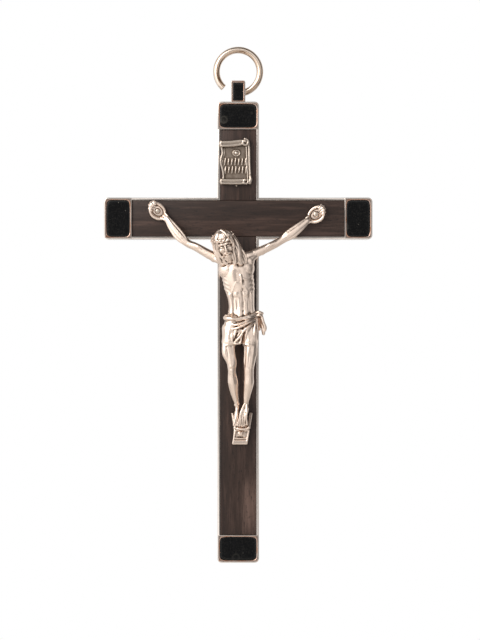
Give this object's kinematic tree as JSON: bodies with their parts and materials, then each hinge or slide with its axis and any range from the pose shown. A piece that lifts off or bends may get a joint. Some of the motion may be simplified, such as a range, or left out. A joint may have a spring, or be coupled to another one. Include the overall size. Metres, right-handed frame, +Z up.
{
  "type": "wall crucifix",
  "caption": "Small wall crucifix: plated metal cross with dark wood inlay, black end panels, cast figure and scroll, hung from an open wire ring.",
  "frame": {"origin": "inside the top of the hanging ring, where the wall nail bears", "axes": "+Z up along the cross's upright, +Y out of its back towards the wall, +X to the viewer's right"},
  "size_m": [0.0728, 0.0146, 0.1401],
  "materials": {
    "plated_metal": "polished nickel plate, warm",
    "dark_wood": "dark brown stained wood, satin",
    "black_enamel": "glossy black enamel",
    "cast_silver_metal": "cast and plated, dark patina in the recesses",
    "ring_wire": "bright drawn wire, warm tone"
  },
  "bodies": {
    "ring": {"hanging_ring": "ring_wire"},
    "cross": {"metal_cross_frame": "plated_metal", "wood_crossbar_inlay": "dark_wood", "wood_upper_inlay": "dark_wood", "wood_lower_inlay": "dark_wood", "enamel_top": "black_enamel", "enamel_left": "black_enamel", "enamel_right": "black_enamel", "enamel_bottom": "black_enamel", "enamel_lug": "black_enamel", "corpus_figure": "cast_silver_metal", "title_scroll": "cast_silver_metal", "nail_left_hand": "cast_silver_metal", "nail_right_hand": "cast_silver_metal", "nail_footrest": "cast_silver_metal", "nail_scroll": "cast_silver_metal"}
  },
  "joints": [
    {"name": "ring_hinge", "type": "hinge", "parent": "ring", "child": "cross", "pos_m": [0, 0, -0.01074], "axis": [1, 0, 0], "range_deg": [-120, 120]}
  ]
}
